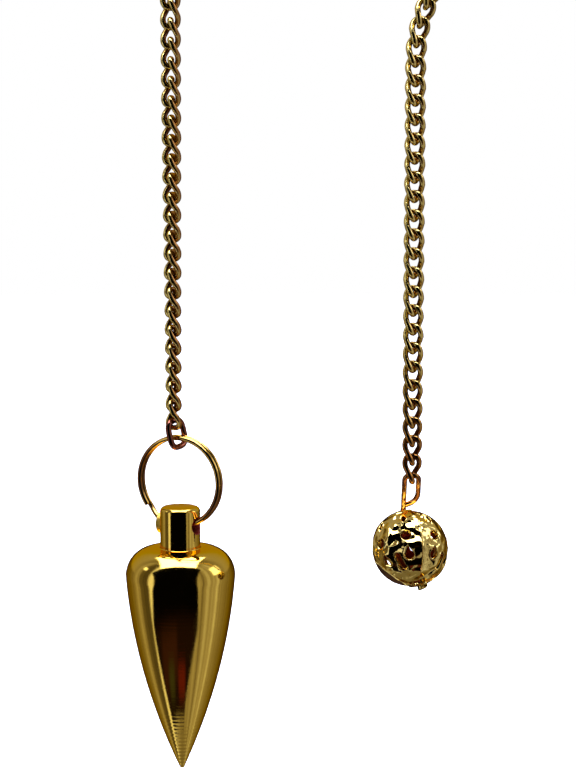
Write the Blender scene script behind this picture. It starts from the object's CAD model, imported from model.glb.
"""Pendulum pendant: the turned bob on its split ring, the curb chain, and the pierced ball on its eye."""

import math
from math import cos, pi, radians, sin, sqrt

import bpy
from mathutils import Matrix, Vector
from mathutils.geometry import delaunay_2d_cdt


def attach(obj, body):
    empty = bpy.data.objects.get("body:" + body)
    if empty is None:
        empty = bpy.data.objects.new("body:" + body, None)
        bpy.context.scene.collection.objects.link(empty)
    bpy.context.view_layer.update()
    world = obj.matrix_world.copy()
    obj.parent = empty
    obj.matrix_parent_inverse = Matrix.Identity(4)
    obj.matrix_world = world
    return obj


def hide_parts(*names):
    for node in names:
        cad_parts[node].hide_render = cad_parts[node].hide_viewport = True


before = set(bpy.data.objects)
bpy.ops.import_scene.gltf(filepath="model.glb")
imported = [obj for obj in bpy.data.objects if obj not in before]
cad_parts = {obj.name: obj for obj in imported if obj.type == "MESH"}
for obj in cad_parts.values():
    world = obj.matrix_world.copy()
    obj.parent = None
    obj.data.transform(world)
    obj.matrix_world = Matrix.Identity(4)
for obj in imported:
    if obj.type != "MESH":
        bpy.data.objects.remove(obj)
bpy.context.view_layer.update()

# Curb chain: drawn brass wire bent into twisted oval links, each threaded through the next.
# It hangs over the origin: straight up on the left, round an arch, and down on the right.
# The links keep the places, the roll and the wire of the solid chain.

MM = 0.001
LINK_COUNT = 76
LINK_PITCH = 2.45 * MM
LINK_WIRE = 0.76 * MM
LINK_HALF_WIDTH = 0.99 * MM
LINK_HALF_LENGTH = 1.705 * MM
STRAND_GAP = 31.2 * MM
LEFT_LENGTH = 62.1 * MM
LEAN = radians(25)
RETURN_RADIUS = 19 * MM
CROWN_RISE = 0.05 * MM + 0.46 * LINK_HALF_WIDTH + LINK_WIRE / 2
# How far the links are rolled: share of the chain's length, degrees
ROLL_TABLE = [(0, 104), (0.1, 112), (0.2, 130), (0.3, 150), (0.48, 90), (0.72, 165), (0.93, 165), (1, 136)]
# The sizes that give a link and the chain their form, as inputs of the trees that make them
LINK_FORM = {
    "Half Width": LINK_HALF_WIDTH,
    "Half Length": LINK_HALF_LENGTH,
    "Wire": LINK_WIRE,
    "Twist": radians(112),
    "Squareness": 0.66,
    "End Turn": 0.8,
}
CHAIN_FORM = {"Links": LINK_COUNT, "Pitch": LINK_PITCH, **LINK_FORM, "Looseness": radians(1.5)}
# Cloudiness of the polish: noise scale, its detail, and the noise where it starts and where it is full
HAZE = (420.0, 3.0, 0.42, 0.68)
SPECKS = (2600.0, 2.0, 0.62, 0.74)
GRAIN = (9000.0, 2.0, 0.3, 0.7)
POLISH_DEPTH = 0.01 * MM
# Colour of polished brass where it is seen at a glancing angle
GLANCING = (1.0, 0.6, 0.2, 1.0)
SEAM_BROWN = (0.3, 0.13, 0.02)
COPPER_RED = (0.34, 0.1, 0.025)
DIRT_BROWN = (0.09, 0.024, 0.008)


def fill(tree, made, inputs):
    """Sets inputs of a node: a socket is linked, each of a list in turn, and None is left alone."""
    for key, value in inputs.items():
        for each in value if isinstance(value, list) else [value]:
            if isinstance(each, bpy.types.NodeSocket):
                tree.links.new(each, made.inputs[key])
            elif each is not None:
                made.inputs[key].default_value = each


def node(tree, kind, *values, **named):
    """A node. Plain values are its first inputs in order.

    Names in small letters are its settings. Those with a capital are inputs, _ standing for a space.
    """
    made = tree.nodes.new(kind)
    inputs = dict(enumerate(values))
    for name, value in named.items():
        if name.islower():
            setattr(made, name, value)
        else:
            inputs[name.replace("_", " ")] = value
    fill(tree, made, inputs)
    return made


def put(tree, kind, *values, **named):
    """A node's first result."""
    return node(tree, kind, *values, **named).outputs[0]


def shaped(tree, kind, *values, **named):
    """A geometry node's first result. Its kind is given without the word GeometryNode."""
    return put(tree, "GeometryNode" + kind, *values, **named)


def reckon(tree, operation, first, second=0.0, third=0.0):
    """A Math node's result; it works in geometry and in shader trees."""
    return put(tree, "ShaderNodeMath", first, second, third, operation=operation)


def product(tree, first, *others):
    for other in others:
        first = reckon(tree, "MULTIPLY", first, other)
    return first


def signed_power(tree, value, power):
    size = reckon(tree, "POWER", reckon(tree, "ABSOLUTE", value), power)
    return product(tree, reckon(tree, "SIGN", value), size)


def vector(tree, operation, first, second=None):
    """A Vector Math node's result: a number for a dot product or a length, or else a vector."""
    made = node(tree, "ShaderNodeVectorMath", first, second, operation=operation)
    return made.outputs["Value" if operation in ("DOT_PRODUCT", "LENGTH") else "Vector"]


def ramp(tree, value, start, end, low=0.0, high=1.0, **settings):
    """A value that goes from low to high while the given one goes from start to end."""
    return put(tree, "ShaderNodeMapRange", value, start, end, low, high, **settings)


def split(tree, place):
    """The three numbers of a place or a direction."""
    return node(tree, "ShaderNodeSeparateXYZ", place).outputs


def joined(tree, *numbers):
    """A place or a direction from its numbers."""
    return put(tree, "ShaderNodeCombineXYZ", *numbers)


def swung(tree, distance, angle, height):
    """The place at a distance and an angle round the upright axis, at a height."""
    x = product(tree, distance, reckon(tree, "COSINE", angle))
    y = product(tree, distance, reckon(tree, "SINE", angle))
    return joined(tree, x, y, height)


def named_tree(name, inputs, outputs=None):
    """An empty group: for geometry, or for a material where it is given outputs.

    An input's name stands for its default or its kind of socket, an output's for its kind.
    """
    tree = bpy.data.node_groups.new(name, "ShaderNodeTree" if outputs else "GeometryNodeTree")
    kinds = {float: "Float", int: "Int", tuple: "Color"}
    for title, given in inputs.items():
        socket = "NodeSocket" + kinds.get(type(given), str(given))
        made = tree.interface.new_socket(name=title, in_out="INPUT", socket_type=socket)
        if not isinstance(given, str):
            made.default_value = given
    for title, kind in (outputs or {"Mesh": "Geometry"}).items():
        tree.interface.new_socket(name=title, in_out="OUTPUT", socket_type="NodeSocket" + kind)
    return tree, tree.nodes.new("NodeGroupInput").outputs, tree.nodes.new("NodeGroupOutput").inputs


def moved(tree, mesh, place, turn=None):
    return shaped(tree, "Transform", mesh, Translation=place, Rotation=turn)


def noted(tree, mesh, name, value, **settings):
    """The mesh with a value kept on it under a name."""
    return shaped(tree, "StoreNamedAttribute", mesh, True, name, value, **settings)


def wire_along(tree, line, wire, sides, **named):
    """Round wire of a thickness along a line of edges."""
    curve = shaped(tree, "MeshToCurve", line)
    section = shaped(tree, "CurvePrimitiveCircle", sides, Radius=product(tree, wire, 0.5))
    return shaped(tree, "CurveToMesh", curve, section, **named)


def dressed(tree, mesh, given, result):
    """The tree with its end: its instances made real, in the metal it is given."""
    real = shaped(tree, "RealizeInstances", mesh)
    tree.links.new(shaped(tree, "SetMaterial", real, True, given["Metal"]), result[0])
    return tree


def twisted_link_tree():
    """One wire link: a rounded oblong whose two ends are turned against each other."""
    tree, given, result = named_tree("twisted_link", {**LINK_FORM, "Steps": 48, "Sides": 14})
    ring = shaped(tree, "MeshCircle", given["Steps"], 1.0)
    index = shaped(tree, "InputIndex")
    turn_share = reckon(tree, "DIVIDE", reckon(tree, "ADD", index, 0.5), given["Steps"])
    angle = product(tree, turn_share, 2 * pi)
    across = signed_power(tree, reckon(tree, "COSINE", angle), given["Squareness"])
    along = signed_power(tree, reckon(tree, "SINE", angle), given["Squareness"])
    turn = product(tree, given["Twist"], -0.5, signed_power(tree, along, given["End Turn"]))
    width = product(tree, given["Half Width"], across)
    place = swung(tree, width, turn, product(tree, given["Half Length"], along))
    bent = shaped(tree, "SetPosition", ring, True, place)
    # The wire's ends meet in the middle of one long side: 1 there, 0 opposite
    from_seam = reckon(tree, "ABSOLUTE", reckon(tree, "MULTIPLY_ADD", turn_share, 2.0, -1.0))
    marked = noted(tree, bent, "seam", from_seam)
    skin = wire_along(tree, marked, given["Wire"], given["Sides"])
    # How far the wire's surface faces the middle of the link, where dirt stays
    to_middle = vector(tree, "MULTIPLY", shaped(tree, "InputPosition"), (-1.0, -1.0, -0.5))
    normal = shaped(tree, "InputNormal")
    facing = vector(tree, "DOT_PRODUCT", normal, vector(tree, "NORMALIZE", to_middle))
    inner = noted(tree, skin, "inner", facing)
    tree.links.new(shaped(tree, "SetShadeSmooth", inner), result[0])
    return tree


def chain_tree(link):
    """Links at an even pitch along a route, each rolled about it."""
    inputs = {"Route": "Geometry", **CHAIN_FORM, "Metal": "Material"}
    tree, given, result = named_tree("curb_chain", inputs)
    index = shaped(tree, "InputIndex")
    length = product(tree, reckon(tree, "ADD", index, 0.5), given["Pitch"])
    route = shaped(tree, "MeshToCurve", given["Route"])
    at = node(tree, "GeometryNodeSampleCurve", route, mode="LENGTH", Length=length).outputs
    points = shaped(tree, "Points", given["Links"], at["Position"])
    axes = {"primary_axis": "Z", "secondary_axis": "Y"}
    heading = put(tree, "FunctionNodeAxesToRotation", at["Tangent"], (0.0, 1.0, 0.0), **axes)
    share = reckon(tree, "DIVIDE", length, product(tree, given["Links"], given["Pitch"]))
    roll_curve = node(tree, "ShaderNodeFloatCurve", 1.0, share)
    stops = roll_curve.mapping.curves[0].points
    for k, (place, roll) in enumerate(ROLL_TABLE):
        stop = stops[k] if k < 2 else stops.new(place, roll / 360)
        stop.location = (place, roll / 360)
    for stop in stops:
        stop.handle_type = "VECTOR"
    roll_curve.mapping.update()
    loose = (product(tree, given["Looseness"], -1.0), given["Looseness"])
    play = node(tree, "FunctionNodeRandomValue", None, None, *loose, data_type="FLOAT").outputs[1]
    roll = reckon(tree, "MULTIPLY_ADD", roll_curve.outputs[0], 2 * pi, play)
    turned = put(tree, "FunctionNodeAxisAngleToRotation", (0.0, 0.0, 1.0), roll)
    rotation = put(tree, "FunctionNodeRotateRotation", heading, turned, rotation_space="LOCAL")
    one = shaped(tree, "Group", *[given[name] for name in LINK_FORM], node_tree=link)
    placed = shaped(tree, "InstanceOnPoints", points, True, one, Rotation=rotation)
    tone = node(tree, "FunctionNodeRandomValue", data_type="FLOAT", Seed=7).outputs[1]
    toned = noted(tree, placed, "tone", tone, domain="INSTANCE")
    return dressed(tree, toned, given, result)


def grown(name, tree, values, points=(), breaks=(), faces=()):
    """An object made by a tree from a line of points or a sheet, turned into a plain mesh."""
    start = bpy.data.meshes.new(name)
    edges = [] if faces else [(k, k + 1) for k in range(len(points) - 1) if k not in breaks]
    start.from_pydata(points, edges, faces)
    piece = bpy.data.objects.new(name, start)
    bpy.context.scene.collection.objects.link(piece)
    modifier = piece.modifiers.new("made", "NODES")
    modifier.node_group = tree
    for item in tree.interface.items_tree:
        if item.item_type == "SOCKET" and item.in_out == "INPUT" and item.name in values:
            modifier[item.identifier] = values[item.name]
    view = bpy.context.evaluated_depsgraph_get()
    seen = piece.evaluated_get(view)
    mesh = bpy.data.meshes.new_from_object(seen, preserve_all_data_layers=True, depsgraph=view)
    piece.modifiers.clear()
    piece.data = mesh
    mesh.name = name
    if mesh.materials and mesh.materials[0] is None:
        mesh.materials.pop(index=0)
    return piece


def clouds(tree, place, scale, detail):
    return put(tree, "ShaderNodeTexNoise", place, Scale=scale, Detail=detail)


def tinted(tree, base, colour, cover):
    """Colour base where cover is 0, the other where it is 1; each is a socket or three numbers."""
    ends = [(*each, 1.0) if isinstance(each, tuple) else each for each in (base, colour)]
    return node(tree, "ShaderNodeMix", cover, *[None] * 5, *ends, data_type="RGBA").outputs[2]


def polish_group():
    """Handled polish: cloudy haze, fine grain and specks of tarnish, on metal of a given colour."""
    colours = {"Metal": (0.85, 0.55, 0.08, 1.0), "Tarnish": (0.25, 0.1, 0.02, 1.0)}
    inputs = {"Place": "Vector", **colours, "Tarnished": 0.3, "Roughness": 0.08, "Haze": 0.08}
    outputs = {"Colour": "Color", "Roughness": "Float", "Height": "Float"}
    tree, given, result = named_tree("handled_polish", inputs, outputs)
    haze, specks, grain = [
        ramp(tree, clouds(tree, given["Place"], scale, detail), start, full)
        for scale, detail, start, full in (HAZE, SPECKS, GRAIN)
    ]
    dull = product(tree, reckon(tree, "MULTIPLY_ADD", haze, 0.35, specks), given["Tarnished"])
    rough = reckon(tree, "MULTIPLY_ADD", haze, given["Haze"], given["Roughness"])
    tree.links.new(tinted(tree, given["Metal"], given["Tarnish"], dull), result["Colour"])
    tree.links.new(reckon(tree, "MULTIPLY_ADD", specks, 0.1, rough), result["Roughness"])
    tree.links.new(reckon(tree, "MULTIPLY_ADD", specks, -0.6, grain), result["Height"])
    return tree


HANDLED_POLISH = polish_group()


def on_piece(tree):
    """The place on the piece, in its own coordinates."""
    return tree.nodes.new("ShaderNodeTexCoord").outputs["Object"]


def add_relief(tree, shader, height, strength, distance):
    """Relief by a height, over the relief that the shader already has."""
    before = [link.from_socket for link in shader.inputs["Normal"].links]
    made = put(tree, "ShaderNodeBump", Strength=strength, Distance=distance, Height=height, Normal=before)
    tree.links.new(made, shader.inputs["Normal"])


def brass(name, metal, tarnish, tarnished, roughness, haze, bump):
    """Bright brass. Returns the material, its tree, its shader and the polish's results, to build on."""
    made = bpy.data.materials.new(name)
    made.use_nodes = True
    tree = made.node_tree
    shader = tree.nodes["Principled BSDF"]
    amounts = [(*metal, 1.0), (*tarnish, 1.0), tarnished, roughness, haze]
    polish = node(tree, "ShaderNodeGroup", on_piece(tree), *amounts, node_tree=HANDLED_POLISH).outputs
    fill(tree, shader, {"Base Color": polish["Colour"], "Roughness": polish["Roughness"]})
    fill(tree, shader, {"Metallic": 1.0, "Specular Tint": GLANCING})
    add_relief(tree, shader, polish["Height"], bump, POLISH_DEPTH)
    return made, tree, shader, polish


def arc(x, z, across, up, start, end, steps):
    """Points round x, z from the start angle to the end; across and up are its radii."""
    turns = [start + (end - start) * k / steps for k in range(steps + 1)]
    return [(x + across * cos(a), z + up * sin(a)) for a in turns]


arch_radius = (STRAND_GAP + RETURN_RADIUS * (1 - cos(LEAN))) / (1 + cos(LEAN))
arch_z = CROWN_RISE - arch_radius
left_x = -arch_radius
right_x = left_x + STRAND_GAP
arch_length = arch_radius * (pi + LEAN)
return_length = RETURN_RADIUS * LEAN
return_x = (arch_radius + RETURN_RADIUS) * cos(LEAN)
return_z = arch_z - (arch_radius + RETURN_RADIUS) * sin(LEAN)
right_foot_z = return_z - (LINK_COUNT * LINK_PITCH - LEFT_LENGTH - arch_length - return_length)

route = [(left_x, arch_z - LEFT_LENGTH)]
route += arc(0, arch_z, -arch_radius, arch_radius, 0, pi + LEAN, 160)
route += arc(return_x, return_z, -RETURN_RADIUS, RETURN_RADIUS, LEAN, 0, 40)[1:]
route += [(right_x, right_foot_z)]

chain_brass, tree, shader, polish = brass(
    "polished_chain", metal=(1.0, 0.77, 0.22), tarnish=(0.2, 0.07, 0.015),
    tarnished=0.15, roughness=0.12, haze=0.05, bump=0.25,
)
# Fine dark line where each link's wire ends meet, and a slightly different tone from link to link
seam, tone, inner = [
    node(tree, "ShaderNodeAttribute", attribute_name=name).outputs["Fac"]
    for name in ("seam", "tone", "inner")
]
seam_line = ramp(tree, seam, 0.972, 0.985, 0.0, 0.85)
darker = reckon(tree, "MAXIMUM", seam_line, ramp(tree, tone, 0.0, 1.0, 0.0, 0.12))
colour = tinted(tree, polish["Colour"], SEAM_BROWN, darker)
# The right-hand faces are redder, most on the bob's strand, and so is the foot of the ball's strand
to_right = split(tree, tree.nodes.new("ShaderNodeNewGeometry").outputs["Normal"])[0]
axes = split(tree, on_piece(tree))
fading = ramp(tree, axes[0], -3 * MM, 3 * MM, 1.0, 0.4)
reddened = product(tree, ramp(tree, to_right, 0.05, 0.6, 0.0, 0.85), fading)
low = ramp(tree, axes[2], -66 * MM, -82 * MM, 0.0, 0.85)
foot = product(tree, low, reckon(tree, "GREATER_THAN", axes[0], 0.0))
colour = tinted(tree, colour, COPPER_RED, reckon(tree, "MAXIMUM", reddened, foot))
# Dirt stays inside the bends of the wire
colour = tinted(tree, colour, DIRT_BROWN, ramp(tree, inner, -0.2, 0.5, 0.0, 0.94))
fill(tree, shader, {"Base Color": colour})

TWISTED_LINK = twisted_link_tree()
chain = grown(
    "curb_chain",
    chain_tree(TWISTED_LINK),
    {**CHAIN_FORM, "Metal": chain_brass},
    points=[(x, 0, z) for x, z in route],
)
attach(chain, "chain")
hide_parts("chain")

# End link: a plain oval link of slightly thicker wire, not twisted. It is threaded through the
# chain's last link on the left, leans a little, and the split ring hangs in it.

END_WIRE = 0.8 * MM
END_HALF_LENGTH = 1.75 * MM
END_FORM = {
    **LINK_FORM,
    "Half Width": 1.4 * MM,
    "Half Length": END_HALF_LENGTH,
    "Wire": END_WIRE,
    "Twist": 0.0,
    "Steps": 96,
    "Sides": 24,
}
END_TURN = radians(52)
END_LEAN = radians(12)
WIRE_GAP = 0.16 * MM

last_link_z = arch_z - LEFT_LENGTH + LINK_PITCH / 2 - LINK_HALF_LENGTH
end_top_z = last_link_z + (LINK_WIRE + END_WIRE) / 2 + WIRE_GAP
end_x = left_x + END_HALF_LENGTH * sin(END_LEAN)
end_z = end_top_z - END_HALF_LENGTH * cos(END_LEAN)
end_foot_z = end_top_z - 2 * END_HALF_LENGTH * cos(END_LEAN)
end_pose = Matrix.Rotation(-END_LEAN, 3, "Y") @ Matrix.Rotation(END_TURN, 3, "Z")


def single_link_tree(link):
    """One link on its own, turned and set in its place."""
    inputs = {**END_FORM, "Turn": "Rotation", "Place": "Vector", "Metal": "Material"}
    tree, given, result = named_tree("single_link", inputs)
    one = shaped(tree, "Group", *[given[name] for name in END_FORM], node_tree=link)
    in_place = moved(tree, one, given["Place"], given["Turn"])
    return dressed(tree, in_place, given, result)


end_brass = brass(
    "polished_end_link", metal=(0.3, 0.1, 0.055), tarnish=(0.1, 0.03, 0.012),
    tarnished=0.5, roughness=0.03, haze=0.04, bump=0.15,
)[0]
end_link = grown(
    "end_link_wire",
    single_link_tree(TWISTED_LINK),
    {
        **END_FORM,
        "Turn": tuple(end_pose.to_euler()),
        "Place": (end_x, 0.0, end_z),
        "Metal": end_brass,
    },
)
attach(end_link, "chain")
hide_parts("end_link")

# Split ring: spring brass wire wound in two turns that lie against each other, cut square.
# The front turn's end shows at the lower left. It passes through the neck's cross hole.

RING_WIRE = 0.68 * MM
RING_RADIUS = 5.81 * MM
TURN_OFFSET = 0.37 * MM
RING_TURN = radians(25)
RING_FORM = {
    "Radius": RING_RADIUS,
    "Wire": RING_WIRE,
    "Turn Offset": TURN_OFFSET,
    "Cut Angle": radians(216),
    "Cross Angle": radians(26),
    "Filed": 0.12 * MM,
    "Steps": 600,
    "Sides": 24,
    "Turn": -RING_TURN,
}
SWING_GAP = 0.06 * MM
GRIME_BROWN = (0.12, 0.04, 0.012)
RING_RED = (0.2, 0.065, 0.03)
# Ways from the ring's middle to its darker stretches, on the left and on the lower right
DARKER_WAYS = [(-0.98, 0.0, 0.21), (0.9, 0.0, -0.43)]

ring_x = left_x + 2 * END_HALF_LENGTH * sin(END_LEAN)
ring_top_z = end_foot_z + END_WIRE / 2 + TURN_OFFSET + RING_WIRE / 2 + SWING_GAP
ring_z = ring_top_z - RING_RADIUS


def sharp_beyond(tree, mesh, angle):
    """The mesh shaded smooth, apart from the edges that turn by more than the angle."""
    smooth = shaped(tree, "SetShadeSmooth", mesh)
    bend = tree.nodes.new("GeometryNodeInputMeshEdgeAngle").outputs["Unsigned Angle"]
    hard = put(tree, "FunctionNodeCompare", bend, angle, data_type="FLOAT", operation="GREATER_THAN")
    return shaped(tree, "SetShadeSmooth", smooth, hard, False, domain="EDGE")


def split_ring_tree():
    """A wire coil of two turns with a short crossing between them, and ends filed a little."""
    inputs = {**RING_FORM, "Place": "Vector", "Metal": "Material"}
    tree, given, result = named_tree("split_ring", inputs)
    line = shaped(tree, "MeshLine", given["Steps"])
    index = shaped(tree, "InputIndex")
    share = reckon(tree, "DIVIDE", index, reckon(tree, "SUBTRACT", given["Steps"], 1.0))
    whole = reckon(tree, "SUBTRACT", 4 * pi, given["Cross Angle"])
    run = product(tree, share, whole)
    angle = reckon(tree, "SUBTRACT", given["Cut Angle"], run)
    crossing = (reckon(tree, "SUBTRACT", 2 * pi, given["Cross Angle"]), 2 * pi)
    turns = (product(tree, given["Turn Offset"], -1.0), given["Turn Offset"])
    back = ramp(tree, run, *crossing, *turns, interpolation_type="SMOOTHSTEP")
    across = product(tree, given["Radius"], reckon(tree, "COSINE", angle))
    up = product(tree, given["Radius"], reckon(tree, "SINE", angle))
    place = joined(tree, across, back, up)
    bent = shaped(tree, "SetPosition", line, True, place)
    to_end = reckon(tree, "MINIMUM", run, reckon(tree, "SUBTRACT", whole, run))
    to_end = product(tree, to_end, given["Radius"])
    filing = ramp(tree, to_end, 0.0, given["Filed"], 0.8, 1.0)
    marked = noted(tree, bent, "thickness", filing)
    thickness = shaped(tree, "InputNamedAttribute", "thickness", data_type="FLOAT")
    skin = wire_along(tree, marked, given["Wire"], given["Sides"], Scale=thickness, Fill_Caps=True)
    form = sharp_beyond(tree, skin, radians(40))
    turn = joined(tree, 0.0, 0.0, given["Turn"])
    return dressed(tree, moved(tree, form, given["Place"], turn), given, result)


ring_brass, tree, shader, polish = brass(
    "polished_ring", metal=(0.8, 0.5, 0.11), tarnish=(0.14, 0.04, 0.015),
    tarnished=0.6, roughness=0.05, haze=0.06, bump=0.2,
)
# Grime in the groove between the two turns
from_middle = vector(tree, "SUBTRACT", on_piece(tree), (ring_x, 0.0, ring_z))
depth = vector(tree, "DOT_PRODUCT", from_middle, (sin(RING_TURN), cos(RING_TURN), 0.0))
groove = ramp(tree, reckon(tree, "ABSOLUTE", depth), 0.02 * MM, 0.13 * MM, 0.75, 0.0)
colour = tinted(tree, polish["Colour"], GRIME_BROWN, groove)
# Darker, redder stretches
outward = vector(tree, "NORMALIZE", from_middle)
near = [vector(tree, "DOT_PRODUCT", outward, way) for way in DARKER_WAYS]
stretches = [ramp(tree, nearness, 0.62, 0.86, 0.0, 0.82) for nearness in near]
colour = tinted(tree, colour, RING_RED, reckon(tree, "MAXIMUM", *stretches))
fill(tree, shader, {"Base Color": colour})

split_ring = grown(
    "split_ring_coil",
    split_ring_tree(),
    {**RING_FORM, "Place": (ring_x, 0.0, ring_z), "Metal": ring_brass},
)
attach(split_ring, "ring")
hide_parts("split_ring")

# Bob: one piece of brass turned on a lathe and polished. The cross hole through its neck keeps
# a small raised lip on the left, and the turning ridges were left in near the tip.

BOB_LENGTH = 36.2 * MM
BOB_RADIUS = 7.25 * MM
TIP_SLOPE = math.tan(radians(24.7))
TIP_ROUNDING = 0.4 * MM
NECK_HEIGHT = 5.5 * MM
NECK_RADIUS = 2.65 * MM
NECK_EDGE = 0.6 * MM
NECK_FOOT = 0.12 * MM
FLAT_RADIUS = 3.8 * MM
SHOULDER_HEIGHT = 3.7 * MM
HOLE_RADIUS = 1.2 * MM
HOLE_DROP = 2.35 * MM
DRILL_LENGTH = 9 * MM
LIP_HEIGHT = 0.3 * MM
HOLE_GAP = 0.05 * MM
RIDGE_PITCH = 0.55 * MM
RIDGE_DEPTH = 0.01 * MM
RIDGED_LENGTH = 9.5 * MM
MARK_SCALE = 4200.0
MARK_DEPTH = 0.01 * MM
BORE_RED = (0.2, 0.022, 0.016)

mouth_rise = RING_RADIUS - sqrt(RING_RADIUS**2 - (NECK_RADIUS + LIP_HEIGHT) ** 2)
hold_rise = sqrt((HOLE_RADIUS - RING_WIRE / 2 - HOLE_GAP) ** 2 - TURN_OFFSET**2)
hole_z = ring_z - RING_RADIUS + mouth_rise - hold_rise
neck_top_z = hole_z + HOLE_DROP
shoulder_z = neck_top_z - NECK_HEIGHT
tip_z = neck_top_z - BOB_LENGTH
widest_z = shoulder_z - SHOULDER_HEIGHT
taper_length = widest_z - tip_z
BOB_FORM = {
    "Hole Radius": HOLE_RADIUS,
    "Hole Height": hole_z,
    "Neck Radius": NECK_RADIUS,
    "Lip Wall": 0.25 * MM,
    "Lip Height": LIP_HEIGHT,
    "Turn": -RING_TURN,
    "Across": ring_x,
}


def taper_radius(height):
    """Radius of the long taper at a height over the point where its sides would meet."""
    swell = (TIP_SLOPE * taper_length - BOB_RADIUS) * (height / taper_length) ** 2
    return TIP_SLOPE * height - swell


def bob_profile():
    """Half outline from the tip to the middle of the neck's top: radius, 0, height."""
    tip_half = math.atan(TIP_SLOPE)
    tip_middle = TIP_ROUNDING / sin(tip_half)
    outline = arc(0, tip_z + tip_middle, TIP_ROUNDING, TIP_ROUNDING, -pi / 2, -tip_half, 8)
    height = tip_middle
    while height < taper_length:
        fade = max(0.0, 1 - (height / RIDGED_LENGTH) ** 3)
        groove = RIDGE_DEPTH * fade * (0.5 - 0.5 * cos(2 * pi * height / RIDGE_PITCH))
        outline.append((taper_radius(height) - groove, tip_z + height))
        height += RIDGE_PITCH / 8 if height < RIDGED_LENGTH else RIDGE_PITCH
    outline += arc(FLAT_RADIUS, widest_z, BOB_RADIUS - FLAT_RADIUS, SHOULDER_HEIGHT, 0, pi / 2, 36)
    foot_z = shoulder_z + NECK_FOOT
    edge_z = neck_top_z - NECK_EDGE
    outline += arc(NECK_RADIUS + NECK_FOOT, foot_z, NECK_FOOT, NECK_FOOT, -pi / 2, -pi, 6)
    outline += [(NECK_RADIUS, foot_z + (edge_z - foot_z) * k / 17) for k in range(1, 17)]
    outline += arc(NECK_RADIUS - NECK_EDGE, edge_z, NECK_EDGE, NECK_EDGE, 0, pi / 2, 12)
    outline.append((0.0, neck_top_z))
    return [(radius, 0.0, z) for radius, z in outline]


def welded(tree, mesh):
    """The mesh with the points that share a place made one."""
    return shaped(tree, "MergeByDistance", mesh, Distance=1e-7)


def turned_form_tree():
    """A half outline turned about the vertical, as on a lathe."""
    tree, given, result = named_tree("turned_form", {"Outline": "Geometry", "Segments": 192})
    rows = shaped(tree, "AttributeDomainSize", given["Outline"], component="MESH")
    columns = reckon(tree, "ADD", given["Segments"], 1.0)
    sheet = shaped(tree, "MeshGrid", 1.0, 1.0, columns, rows)
    index = shaped(tree, "InputIndex")
    column = reckon(tree, "FLOOR", reckon(tree, "DIVIDE", reckon(tree, "ADD", index, 0.5), rows))
    row = reckon(tree, "SUBTRACT", index, product(tree, column, rows))
    read = {"Value": shaped(tree, "InputPosition"), "Index": row}
    at = shaped(tree, "SampleIndex", given["Outline"], data_type="FLOAT_VECTOR", **read)
    parts = split(tree, at)
    angle = product(tree, reckon(tree, "DIVIDE", column, given["Segments"]), 2 * pi)
    place = swung(tree, parts[0], angle, parts[2])
    round_form = shaped(tree, "SetPosition", sheet, True, place)
    tree.links.new(welded(tree, round_form), result[0])
    return tree


def bob_tree(turned_form):
    """The turned form with a lip added on one side of the neck, and the cross hole drilled."""
    inputs = {"Outline": "Geometry", **BOB_FORM, "Metal": "Material"}
    tree, given, result = named_tree("bob", inputs)
    form = shaped(tree, "Group", given["Outline"], node_tree=turned_form)
    laid = joined(tree, 0.0, pi / 2, given["Turn"])

    def along_hole(mesh, distance):
        """A form on the vertical laid along the hole, at a distance to its right."""
        place = swung(tree, distance, given["Turn"], given["Hole Height"])
        return moved(tree, mesh, place, laid)

    half_wall = product(tree, given["Lip Wall"], 0.5)
    lip_radius = reckon(tree, "ADD", given["Hole Radius"], half_wall)
    stub_radius = reckon(tree, "ADD", lip_radius, half_wall)
    stub_length = reckon(tree, "SUBTRACT", product(tree, given["Neck Radius"], 0.6), half_wall)
    stub = shaped(tree, "MeshCylinder", 96, Radius=stub_radius, Depth=stub_length)
    lip_reach = reckon(tree, "ADD", given["Neck Radius"], given["Lip Height"])
    edge_place = reckon(tree, "SUBTRACT", half_wall, lip_reach)
    stub_place = reckon(tree, "MULTIPLY_ADD", stub_length, 0.5, edge_place)
    round_edge = shaped(tree, "CurvePrimitiveCircle", 96, Radius=lip_radius)
    edge_wire = shaped(tree, "CurvePrimitiveCircle", 16, Radius=product(tree, half_wall, 1.02))
    edge = shaped(tree, "CurveToMesh", round_edge, edge_wire)
    drill = shaped(tree, "MeshCylinder", 96, Radius=given["Hole Radius"], Depth=DRILL_LENGTH)
    parts = [form, along_hole(stub, stub_place), along_hole(edge, edge_place)]
    added = shaped(tree, "MeshBoolean", None, parts, operation="UNION", solver="MANIFOLD")
    bore = along_hole(drill, 0.0)
    drilled = shaped(tree, "MeshBoolean", added, bore, operation="DIFFERENCE", solver="MANIFOLD")
    sharp = sharp_beyond(tree, drilled, radians(32))
    set_across = moved(tree, sharp, joined(tree, given["Across"]))
    return dressed(tree, set_across, given, result)


def lay_over(tree, shader, polish, colour, cover, rough):
    """A colour that isn't bright metal, laid over the polished brass where cover is 1."""
    seen = tinted(tree, polish["Colour"], colour, cover)
    bright = reckon(tree, "SUBTRACT", 1.0, cover)
    fill(tree, shader, {"Base Color": seen, "Metallic": bright, "Roughness": rough})


bob_brass, tree, shader, polish = brass(
    "mirror_polished_bob", metal=(0.85, 0.55, 0.08), tarnish=(0.22, 0.09, 0.015),
    tarnished=0.12, roughness=0.045, haze=0.06, bump=0.12,
)
# Turning marks: fine rings round the axis
place = on_piece(tree)
axes = split(tree, vector(tree, "SUBTRACT", place, (ring_x, 0.0, 0.0)))
out = reckon(tree, "MULTIPLY_ADD", axes[0], axes[0], product(tree, axes[1], axes[1]))
out = reckon(tree, "SQRT", out)
rings = clouds(tree, joined(tree, out, 0.0, axes[2]), MARK_SCALE, 3.0)
add_relief(tree, shader, rings, 0.5, MARK_DEPTH)
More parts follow.
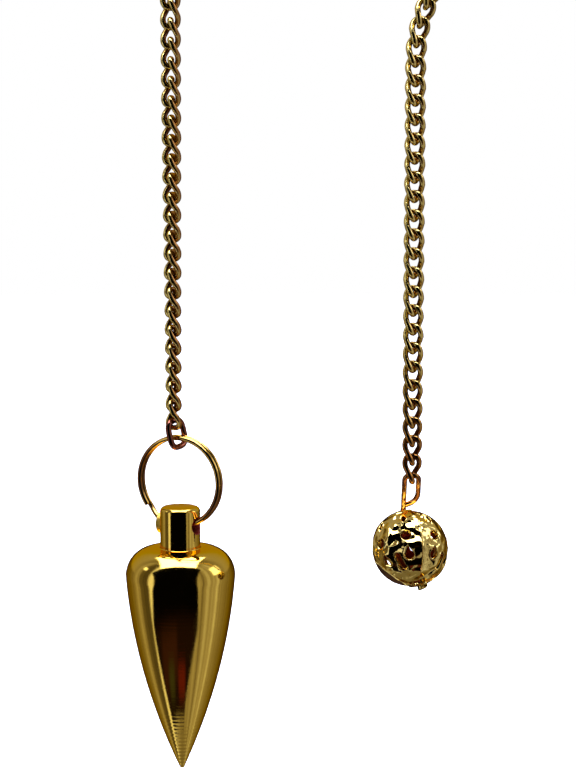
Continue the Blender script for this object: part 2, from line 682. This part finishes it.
# The bore is left dull and red-brown, and the lip isn't polished
from_hole = vector(tree, "SUBTRACT", place, (ring_x, 0.0, hole_z))
sideways = vector(tree, "CROSS_PRODUCT", from_hole, (cos(RING_TURN), -sin(RING_TURN), 0.0))
off_bore = vector(tree, "LENGTH", sideways)
bore = reckon(tree, "LESS_THAN", off_bore, HOLE_RADIUS * 1.01)
lip = reckon(tree, "GREATER_THAN", out, NECK_RADIUS * 1.01)
lip = product(tree, lip, reckon(tree, "LESS_THAN", off_bore, HOLE_RADIUS * 1.3))
rough = reckon(tree, "MULTIPLY_ADD", reckon(tree, "MAXIMUM", bore, lip), 0.35, polish["Roughness"])
lay_over(tree, shader, polish, BORE_RED, bore, rough)

bob = grown(
    "turned_bob",
    bob_tree(turned_form_tree()),
    {**BOB_FORM, "Metal": bob_brass},
    points=bob_profile(),
)
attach(bob, "bob")
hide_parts("bob")

# Eye: brass wire bent into a narrow loop through the chain's last link, closed with a bead of
# solder. Its shank goes down into the ball, where a head holds it.

EYE_WIRE = 0.72 * MM
EYE_RADIUS = 0.92 * MM
EYE_HEIGHT = 5.9 * MM
EYE_SIDE = 2.2 * MM
EYE_BEND_RADIUS = 2.0 * MM
EYE_TURN_IN = radians(62)
HEAD_RADIUS = 0.75 * MM
EYE_FORM = {"Wire": EYE_WIRE, "Bead Radius": 0.403 * MM, "Head Radius": HEAD_RADIUS}
BALL_RADIUS = 5.15 * MM
BALL_WALL = 0.5 * MM
PETAL_STEP = 0.15 * MM
BALL_PITCH = radians(36.5)
BALL_ROLL = radians(9)
BALL_FORE = 0.6 * MM
BEND_GAP = 0.2 * MM
HEAD_GAP = 0.08 * MM
BURN_SCALE = 640.0
BURNT_BROWN = (0.16, 0.045, 0.018)

last_link_z = right_foot_z + LINK_PITCH / 2 - LINK_HALF_LENGTH
eye_top_z = last_link_z + (LINK_WIRE + EYE_WIRE) / 2 + WIRE_GAP
ball_turn = Matrix.Rotation(-BALL_ROLL, 3, "Y") @ Matrix.Rotation(-BALL_PITCH, 3, "X")
pole = ball_turn @ Vector((0, 0, 1))
bend_out = BALL_RADIUS + EYE_WIRE / 2 + BEND_GAP
bend_back = bend_out * pole.y - BALL_FORE
eye_lean = math.asin(bend_back / EYE_HEIGHT)
bend_place = Vector((right_x - EYE_RADIUS, bend_back, eye_top_z - EYE_HEIGHT * cos(eye_lean)))
ball_place = bend_place - bend_out * pole
head_out = BALL_RADIUS - PETAL_STEP - BALL_WALL - HEAD_GAP - HEAD_RADIUS


def eye_route():
    """The loop's middle line from the shank up, round and back to the shank, then the shank's own."""
    arc_z = EYE_HEIGHT - EYE_RADIUS
    bend_x = 2 * EYE_RADIUS - EYE_BEND_RADIUS
    line = [(0.0, arc_z * k / 12) for k in range(12)]
    line += arc(EYE_RADIUS, arc_z, -EYE_RADIUS, EYE_RADIUS, 0, pi, 32)
    line += [(2 * EYE_RADIUS, arc_z - EYE_SIDE * k / 5) for k in range(1, 5)]
    line += arc(bend_x, arc_z - EYE_SIDE, EYE_BEND_RADIUS, -EYE_BEND_RADIUS, 0, EYE_TURN_IN, 12)
    last_x, last_z = line[-1]
    drop = last_x / math.tan(EYE_TURN_IN)
    line += [(last_x * (1 - k / 6), last_z - drop * k / 6) for k in range(1, 7)]
    lean = Matrix.Rotation(eye_lean, 3, "X")
    loop = [bend_place + lean @ Vector((x, 0, z)) for x, z in line]
    shank = [ball_place + (head_out + (bend_out - head_out) * k / 6) * pole for k in range(7)]
    return loop, shank


def eye_tree():
    """Wire along the loop and the shank, with the solder bead and the head, fused into one."""
    places = {"Bead Place": "Vector", "Head Place": "Vector"}
    inputs = {"Route": "Geometry", **EYE_FORM, **places, "Metal": "Material"}
    tree, given, result = named_tree("wire_eye", inputs)
    parts = [wire_along(tree, given["Route"], given["Wire"], 24, Fill_Caps=True)]
    for name in ("Bead", "Head"):
        ball = shaped(tree, "MeshUVSphere", 32, 20, given[name + " Radius"])
        parts.append(moved(tree, ball, given[name + " Place"]))
    fused = node(tree, "GeometryNodeMeshBoolean", None, parts, operation="UNION", solver="EXACT")
    fill(tree, fused, {"Self Intersection": True})
    return dressed(tree, sharp_beyond(tree, fused.outputs[0], radians(40)), given, result)


eye_brass, tree, shader, polish = brass(
    "polished_eye", metal=(0.78, 0.42, 0.12), tarnish=(0.14, 0.04, 0.012),
    tarnished=0.35, roughness=0.05, haze=0.06, bump=0.2,
)
# Dark patches left by the soldering
burnt = ramp(tree, clouds(tree, on_piece(tree), BURN_SCALE, 1.0), 0.42, 0.56, 0.0, 0.9)
fill(tree, shader, {"Base Color": tinted(tree, polish["Colour"], BURNT_BROWN, burnt)})

loop, shank = eye_route()
eye = grown(
    "wire_eye",
    eye_tree(),
    {
        **EYE_FORM,
        "Bead Place": tuple(bend_place),
        "Head Place": tuple(ball_place + head_out * pole),
        "Metal": eye_brass,
    },
    points=[tuple(p) for p in loop + shank],
    breaks=(len(loop) - 1,),
)
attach(eye, "chain")
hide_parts("ball_eye")

# Filigree ball: four petals stamped and pierced in thin brass sheet, domed and joined at their
# edges. Two of them lie lower than the others. Bright outside, dull and reddish inside.

PETAL_TURN = radians(-26.5)
PETAL_COUNT = 4
COLUMN_LON = radians(21.8)
DIAMOND_LAT = radians(28)
DIAMOND_WIDTH = 0.8 * MM
DIAMOND_TALL = 2.2
DIAMOND_HOLLOW = 1.75
DOT_LAT = radians(-2.8)
DOT_RADIUS = 0.675 * MM
DROP_LAT = radians(-30)
DROP_RADIUS = 0.6 * MM
DROP_FALL = 0.24 * MM
DROP_RISE = 1.02 * MM
DROP_BLUNTING = 0.03 * MM
SLOT_LAT = radians(-39)
SLOT_LON = radians(2)
SLOT_SLANT = radians(7)
SLOT_LENGTH = 2.6 * MM
SLOT_WIDTH = 0.8 * MM
TOP_HOLE_RADIUS = 0.46 * MM
LOW_HOLE_RADIUS = 0.95 * MM
COLLAR_HEIGHT = 0.4 * MM
COLLAR_EDGE = 0.12 * MM
BALL_FORM = {
    "Petals": PETAL_COUNT,
    "Radius": BALL_RADIUS,
    "Wall": BALL_WALL,
    "Step": PETAL_STEP,
    "Turn": PETAL_TURN,
    "Collar Radius": LOW_HOLE_RADIUS + BALL_WALL / 2,
    "Collar Height": COLLAR_HEIGHT + BALL_WALL,
    "Collar Middle": (BALL_WALL - COLLAR_HEIGHT) / 2 - BALL_RADIUS,
    "Collar Start": PETAL_TURN - radians(10),
    "Collar Angle": radians(120),
}
SHEET_STEP = radians(2.25)
SEAM_GAP = radians(0.12)
# Burnished rim round each hole and along the petal's sides: distance from the edge, rise (mm)
RIM = [(0.0, -0.07), (0.035, -0.02), (0.075, 0.0), (0.12, -0.012), (0.165, -0.03)]
# Distance past the rim that the even sheet keeps, and the least one that counts (mm)
RIM_CLEAR = 0.08
LEAST = 0.001
DENT_SCALE = 520.0
DENT_DEPTH = 1.4 * MM
STAIN_WAY = (-0.6, -0.17, -0.78)
STAIN_BLACK = (0.012, 0.003, 0.002)


def diamond_outline():
    """A tall diamond with softened corners."""
    points = []
    for cosine, sine in arc(0, 0, 1, 1, 0, 2 * pi, 40)[:-1]:
        x = math.copysign(abs(cosine) ** DIAMOND_HOLLOW, cosine)
        y = math.copysign(abs(sine) ** DIAMOND_HOLLOW, sine)
        points.append((x * DIAMOND_WIDTH / 2, y * DIAMOND_WIDTH * DIAMOND_TALL / 2))
    return points


def drop_outline():
    """A round hole whose top is drawn out to a point."""
    tangent = math.asin(DROP_RADIUS / (DROP_RISE + DROP_FALL))
    points = arc(0, -DROP_FALL, DROP_RADIUS, DROP_RADIUS, tangent, -pi - tangent, 28)
    start, end = Vector(points[-1]), Vector((0, DROP_RISE))
    left = [start.lerp(end, k / 6) for k in range(1, 6)]
    points += [tuple(p) for p in left] + [(0.0, DROP_RISE - DROP_BLUNTING)]
    points += [(-p.x, p.y) for p in reversed(left)]
    return list(reversed(points))


def slot_outline():
    """A slanted slot with round ends."""
    points = []
    half = (SLOT_LENGTH - SLOT_WIDTH) / 2
    for end, start in ((half, 0.0), (-half, pi)):
        points += arc(0, end, SLOT_WIDTH / 2, SLOT_WIDTH / 2, start, start + pi, 12)
        side = points[-1][0]
        points += [(side, end * share) for share in (0.6, 0.2, -0.2, -0.6)]
    turn = Matrix.Rotation(SLOT_SLANT, 2)
    return [tuple(turn @ Vector(p)) for p in points]


def widened(outline, distance):
    """An outline moved outwards by a distance; it runs counter-clockwise."""
    wide = []
    for k, (x, y) in enumerate(outline):
        before, after = Vector(outline[k - 1]), Vector(outline[(k + 1) % len(outline)])
        along = (after - before).normalized()
        wide.append((x + along.y * distance, y - along.x * distance))
    return wide


def on_petal(x, y, lat, lon):
    """Longitude and latitude of a point of a flat shape held against the ball at lat, lon."""
    out = sqrt(BALL_RADIUS**2 - x * x - y * y)
    up, forward = y * cos(lat) + out * sin(lat), out * cos(lat) - y * sin(lat)
    return lon + math.atan2(x, forward), math.asin(up / BALL_RADIUS)


def ring_round(hole, distance):
    """A pierced hole's edge on the ball, widened by a distance in mm."""
    outline, lat, lon = hole
    return [on_petal(x, y, lat, lon) for x, y in widened(outline, distance * MM)]


def inside(x, y, loop):
    crossings = 0
    for k, (x1, y1) in enumerate(loop):
        x0, y0 = loop[k - 1]
        if (y0 > y) != (y1 > y) and x < x0 + (y - y0) * (x1 - x0) / (y1 - y0):
            crossings += 1
    return crossings % 2 == 1


def petal_sheet():
    """The pierced sheet of one petal round the front: its points on the ball, and its triangles."""
    low = -math.acos(LOW_HOLE_RADIUS / BALL_RADIUS)
    high = math.acos(TOP_HOLE_RADIUS / BALL_RADIUS)
    side = pi / PETAL_COUNT - SEAM_GAP
    dot = arc(0, 0, DOT_RADIUS, DOT_RADIUS, 0, 2 * pi, 36)[:-1]
    column = [(diamond_outline(), DIAMOND_LAT), (dot, DOT_LAT), (drop_outline(), DROP_LAT)]
    holes = [(slot_outline(), SLOT_LAT, SLOT_LON)]
    for lon in (-COLUMN_LON, COLUMN_LON):
        holes += [(outline, lat, lon) for outline, lat in column]
    flat, rises, edges, owners = [], [], [], []
    for number, hole in enumerate(holes):
        for distance, rise in RIM:
            loop = ring_round(hole, distance)
            first = len(flat)
            flat += loop
            rises += [rise * MM] * len(loop)
            owners += [number if distance == 0 else -1] * len(loop)
            edges += [(first + k, first + (k + 1) % len(loop)) for k in range(len(loop))]
    kept_clear = [ring_round(hole, RIM[-1][0] + RIM_CLEAR) for hole in holes]
    columns = round(2 * side / SHEET_STEP)
    rows = round((high - low) / SHEET_STEP)
    lons = sorted({-side + 2 * side * k / columns for k in range(columns + 1)})
    for distance, _ in RIM[1:]:
        lons += [side - distance * MM / BALL_RADIUS, distance * MM / BALL_RADIUS - side]
    for lon in lons:
        near_side = (side - abs(lon)) * BALL_RADIUS / MM
        on_rim = [rise for distance, rise in RIM if abs(near_side - distance) < LEAST]
        if not on_rim and LEAST < near_side < RIM[-1][0] - LEAST:
            continue
        rise = on_rim[0] if on_rim else RIM[-1][1]
        for k in range(rows + 1):
            lat = low + (high - low) * k / rows
            if not any(inside(lon, lat, loop) for loop in kept_clear):
                flat.append((lon, lat))
                rises.append(rise * MM)
                owners.append(-1)
    points, _, triangles, origins, _, _ = delaunay_2d_cdt([Vector(p) for p in flat], edges, [], 0, 1e-9)
    sheet = []
    for (lon, lat), sources in zip(points, origins):
        radius = BALL_RADIUS + rises[sources[0]]
        sheet.append((radius * cos(lat) * sin(lon), -radius * cos(lat) * cos(lon), radius * sin(lat)))
    owner = [owners[sources[0]] for sources in origins]
    kept = [t for t in triangles if not (owner[t[0]] >= 0 and owner[t[0]] == owner[t[1]] == owner[t[2]])]
    return sheet, kept


def petal_ball_tree():
    """Copies of a petal round the pole, thickened inwards, two of them set lower."""
    pose = {"Lean": "Rotation", "Place": "Vector"}
    inputs = {"Petal": "Geometry", **BALL_FORM, **pose, "Outside": "Material", "Inside": "Material"}
    tree, given, result = named_tree("petal_ball", inputs)
    out = vector(tree, "NORMALIZE", shaped(tree, "InputPosition"))
    inwards = put(tree, "ShaderNodeVectorMath", out, operation="SCALE", Scale=-1.0)
    wall = {"Offset": inwards, "Offset_Scale": given["Wall"], "Individual": False}
    thick = node(tree, "GeometryNodeExtrudeMesh", given["Petal"], mode="FACES", **wall).outputs
    lining = noted(tree, thick["Mesh"], "inside", thick["Top"], data_type="BOOLEAN", domain="FACE")
    turned = shaped(tree, "FlipFaces", lining)
    both = shaped(tree, "JoinGeometry", [turned, given["Petal"]])
    petal = sharp_beyond(tree, welded(tree, both), radians(50))
    spots = shaped(tree, "Points", given["Petals"])
    index = shaped(tree, "InputIndex")
    quarter = reckon(tree, "DIVIDE", 2 * pi, given["Petals"])
    angle = reckon(tree, "MULTIPLY_ADD", index, quarter, given["Turn"])
    lower = reckon(tree, "DIVIDE", given["Step"], given["Radius"])
    size = reckon(tree, "SUBTRACT", 1.0, product(tree, reckon(tree, "MODULO", index, 2.0), lower))
    turn = joined(tree, 0.0, 0.0, angle)
    sizes = joined(tree, size, size, size)
    around = shaped(tree, "InstanceOnPoints", spots, True, petal, Rotation=turn, Scale=sizes)
    # A strip of the same sheet, its edges rounded, stands behind the lower opening
    stretch = {"Start_Angle": given["Collar Start"], "Sweep_Angle": given["Collar Angle"]}
    line = shaped(tree, "CurveArc", 40, Radius=given["Collar Radius"], **stretch)
    strip = shaped(tree, "CurvePrimitiveQuadrilateral", given["Wall"], given["Collar Height"])
    soft = shaped(tree, "FilletCurve", strip, mode="POLY", Count=4, Radius=COLLAR_EDGE)
    collar = shaped(tree, "CurveToMesh", line, soft, Fill_Caps=True)
    collar = sharp_beyond(tree, collar, radians(50))
    set_low = moved(tree, collar, joined(tree, 0.0, 0.0, given["Collar Middle"]))
    whole = shaped(tree, "JoinGeometry", [around, set_low])
    real = shaped(tree, "RealizeInstances", whole)
    in_place = moved(tree, real, given["Place"], given["Lean"])
    bright = shaped(tree, "SetMaterial", in_place, True, given["Outside"])
    within = shaped(tree, "InputNamedAttribute", "inside", data_type="BOOLEAN")
    tree.links.new(shaped(tree, "SetMaterial", bright, within, given["Inside"]), result[0])
    return tree


ball_brass, tree, shader, polish = brass(
    "stamped_ball", metal=(0.9, 0.66, 0.18), tarnish=(0.2, 0.06, 0.015),
    tarnished=0.5, roughness=0.04, haze=0.06, bump=0.2,
)
# Stamping left the sheet slightly uneven, which breaks up what it reflects
add_relief(tree, shader, clouds(tree, on_piece(tree), DENT_SCALE, 1.0), 1.0, DENT_DEPTH)
# Dark tarnish low on the left
outward = vector(tree, "NORMALIZE", vector(tree, "SUBTRACT", on_piece(tree), tuple(ball_place)))
stained = ramp(tree, vector(tree, "DOT_PRODUCT", outward, STAIN_WAY), 0.82, 0.86, 0.0, 0.99)
rough = reckon(tree, "MULTIPLY_ADD", stained, 0.6, polish["Roughness"])
lay_over(tree, shader, polish, STAIN_BLACK, stained, rough)
fill(tree, shader, {"Specular IOR Level": 0.0})
ball_inside = brass(
    "ball_inside", metal=(0.72, 0.2, 0.08), tarnish=(0.2, 0.04, 0.02),
    tarnished=0.6, roughness=0.3, haze=0.15, bump=0.4,
)[0]

sheet, triangles = petal_sheet()
ball = grown(
    "filigree_ball",
    petal_ball_tree(),
    {
        **BALL_FORM,
        "Lean": tuple(ball_turn.to_euler()),
        "Place": tuple(ball_place),
        "Outside": ball_brass,
        "Inside": ball_inside,
    },
    points=sheet,
    faces=triangles,
)
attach(ball, "chain")
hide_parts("ball")

# Studio: a white sweep, soft light from the sides and from above and behind, and a dark room in
# front, which polished brass shows as the dark band down its middle.

# Light on the walls round the pendant: degrees from the camera's side (+ is right), level
WALLS = [
    (-180, 0.02), (-166, 0.05), (-152, 0.12), (-138, 0.15), (-124, 0.2), (-112, 0.26), (-104, 0.4),
    (-96, 0.36), (-90, 0.13), (-74, 0.08), (-70, 0.16), (-65, 0.95), (-58, 1.1), (-50, 0.7), (0, 0.3),
    (36, 0.3), (44, 0.46), (50, 0.22), (55, 0.24), (61, 0.5), (66, 0.55), (70, 0.3), (76, 0.42),
    (83, 0.44), (88, 0.62), (94, 0.34), (104, 0.28), (124, 0.22), (142, 0.14), (158, 0.06), (180, 0.02),
]
# Patches of the room: limits (from, to, softness) of each value that bounds them. Heights and the
# windows' bearings are in degrees, the rest are parts of a direction.
BEHIND = [(0.35, 2.0, 0.15), (7, 90, 3)]
OVERHEAD = [(-1.05, 0.92, 0.04), (-0.33, 0.56, 0.02), (0.62, 2.0, 0.02)]
DARK_ROOM = [(-0.8, 2.0, 0.012), (-9.0, 0.61, 0.012), (-2.0, -0.36, 0.015), (-55, 69, 1.5)]
RIGHT_WINDOW = [(80, 104, 3), (15, 38, 3)]
LEFT_WINDOW = [(-96, -86, 2.5), (28, 36, 2.5)]
# What the dark room holds low down, with its colour
THINGS = [
    ([(-1.0, 1.0, 0.06), (-62, -30, 3)], (0.013, 0.006, 0.005)),
    ([(-0.62, -0.1, 0.06), (-46, -33, 3)], (0.036, 0.013, 0.01)),
    ([(-0.44, -0.24, 0.06), (-49, -41, 3)], (0.045, 0.05, 0.028)),
    ([(-0.08, 0.2, 0.06), (-50, -42, 3)], (0.12, 0.015, 0.01)),
]
LIGHT_PEAK = 1.2
CEILING_LEVEL = 0.14
GROUND_LEVEL = 0.2
BEHIND_LEVEL = 0.4
ROOM_LEVEL = 0.001
OVERHEAD_LEVEL = 7.0
RIGHT_WINDOW_LEVEL = 2.6
LEFT_WINDOW_LEVEL = 2.2
STRIP_SCALE = 14.0
WARM_LIGHT = (1.0, 0.88, 0.62)
PALE_LIGHT = (1.0, 1.07, 1.45)
FLOOR_RADIUS = 1.2
FLOOR_Z = -150 * MM


def patch(values, limits):
    """1 where each value is inside its limits: from, to, and how softly it falls off."""
    sides = []
    for value, (low, high, soft) in zip(values, limits):
        rise = ramp(tree, value, low - soft, low + soft, interpolation_type="SMOOTHSTEP")
        fall = ramp(tree, value, high - soft, high + soft, 1.0, 0.0, interpolation_type="SMOOTHSTEP")
        sides.append(product(tree, rise, fall))
    return product(tree, *sides)


def over(base, amount, cover):
    """Light level base where cover is 0, amount where it is 1."""
    return put(tree, "ShaderNodeMix", cover, None, base, amount, data_type="FLOAT")


room = bpy.data.worlds.new("studio")
bpy.context.scene.world = room
room.use_nodes = True
tree = room.node_tree
tree.nodes.clear()
axes = split(tree, tree.nodes.new("ShaderNodeTexCoord").outputs["Generated"])
height = product(tree, reckon(tree, "ARCSINE", axes[2]), 180 / pi)
azimuth = product(tree, reckon(tree, "ARCTAN2", axes[0], product(tree, axes[1], -1.0)), 180 / pi)

walls = node(tree, "ShaderNodeValToRGB", reckon(tree, "MULTIPLY_ADD", azimuth, 1 / 360, 0.5))
stops = walls.color_ramp.elements
for k, (bearing, bright) in enumerate(WALLS):
    stop = stops[k] if k < 2 else stops.new(1.0)
    stop.position = bearing / 360 + 0.5
    stop.color = (*[bright / LIGHT_PEAK] * 3, 1.0)
# Panels and frames on the walls: the light varies in narrow upright strips
along_wall = product(tree, azimuth, 0.02)
strips = node(tree, "ShaderNodeTexNoise", noise_dimensions="1D", W=along_wall)
fill(tree, strips, {"Scale": STRIP_SCALE, "Detail": 3.0})
streaks = ramp(tree, strips.outputs["Fac"], 0.3, 0.7, 0.72, 1.28)
level = product(tree, walls.outputs[0], LIGHT_PEAK, streaks)
level = over(level, CEILING_LEVEL, ramp(tree, height, 52.0, 72.0))
level = over(level, GROUND_LEVEL, ramp(tree, height, -57.0, -64.0))
# Behind, the wall is lit above the pendant's height
level = over(level, BEHIND_LEVEL, patch((axes[1], height), BEHIND))
# The dark room in front; low down it narrows to the table's edge, and on the right a little more
low_share = ramp(tree, axes[2], -0.45, -0.95)
narrow = reckon(tree, "SQRT", reckon(tree, "SUBTRACT", 1.0001, product(tree, low_share, low_share)))
across = reckon(tree, "DIVIDE", axes[0], reckon(tree, "MAXIMUM", narrow, 0.05))
on_right = reckon(tree, "DIVIDE", across, ramp(tree, height, -32, -53, 1.0, 0.45))
in_front = patch((across, on_right, axes[1], height), DARK_ROOM)
level = over(level, ROOM_LEVEL, in_front)
# The large soft light overhead, wider towards the front, and small windows on the right and the left
spread = reckon(tree, "DIVIDE", axes[0], reckon(tree, "MULTIPLY_ADD", axes[1], -0.19, 0.437))
level = over(level, OVERHEAD_LEVEL, patch((spread, axes[1], axes[2]), OVERHEAD))
level = over(level, RIGHT_WINDOW_LEVEL, patch((azimuth, height), RIGHT_WINDOW))
level = over(level, LEFT_WINDOW_LEVEL, patch((azimuth, height), LEFT_WINDOW))
# Bright light is paler, dim light is warmer
shade = tinted(tree, WARM_LIGHT, PALE_LIGHT, ramp(tree, level, 0.12, 0.6))
light = put(tree, "ShaderNodeVectorMath", shade, operation="SCALE", Scale=level)
for limits, colour in THINGS:
    there = patch((axes[0], height), limits)
    light = tinted(tree, light, colour, product(tree, there, in_front))
lit = put(tree, "ShaderNodeBackground", light, 1.0)
sweep = put(tree, "ShaderNodeBackground", (1.0, 1.0, 1.0, 1.0), 1.0)
seen = tree.nodes.new("ShaderNodeLightPath").outputs["Is Camera Ray"]
both = put(tree, "ShaderNodeMixShader", seen, lit, sweep)
node(tree, "ShaderNodeOutputWorld", Surface=both)

# Pale floor under the bob's tip; it fades into the sweep, and the brass sees the room instead
bpy.ops.mesh.primitive_circle_add(
    vertices=96, radius=FLOOR_RADIUS, fill_type="NGON", location=(0, 0, FLOOR_Z)
)
floor = bpy.context.object
floor.name = "floor"
paper = bpy.data.materials.new("pale_paper")
paper.use_nodes = True
tree = paper.node_tree
surface = tree.nodes["Principled BSDF"]
fill(tree, surface, {"Base Color": (0.93, 0.93, 0.92, 1.0), "Roughness": 0.9, "Specular IOR Level": 0.0})
gone = ramp(tree, vector(tree, "LENGTH", on_piece(tree)), 0.25, 1.1)
clear = put(tree, "ShaderNodeBsdfTransparent")
faded = put(tree, "ShaderNodeMixShader", gone, surface.outputs[0], clear)
tree.links.new(faded, tree.nodes["Material Output"].inputs["Surface"])
floor.data.materials.append(paper)
floor.visible_glossy = False

glow = bpy.data.lights.new("overhead_glow", "AREA")
glow.shape = "DISK"
glow.size = 0.9
glow.energy = 9.0
overhead = bpy.data.objects.new("overhead_glow", glow)
overhead.location = (0, 0, 0.55)
overhead.visible_glossy = False
bpy.context.scene.collection.objects.link(overhead)

bpy.context.scene.view_settings.view_transform = "Standard"

# Camera, as the photograph was taken: a long lens, a little above, looking slightly down.

CAMERA_PLACE = (-2.37 * MM, -232.7 * MM, -42.6 * MM)
CAMERA_TILT = radians(7.5)

lens = bpy.data.cameras.new("camera")
lens.sensor_fit = "HORIZONTAL"
lens.sensor_width = 36.0
lens.lens = 112.5
lens.clip_start = 0.005
lens.clip_end = 20.0
camera = bpy.data.objects.new("camera", lens)
camera.location = CAMERA_PLACE
camera.rotation_euler = (pi / 2 - CAMERA_TILT, 0, 0)
bpy.context.scene.collection.objects.link(camera)
bpy.context.scene.camera = camera
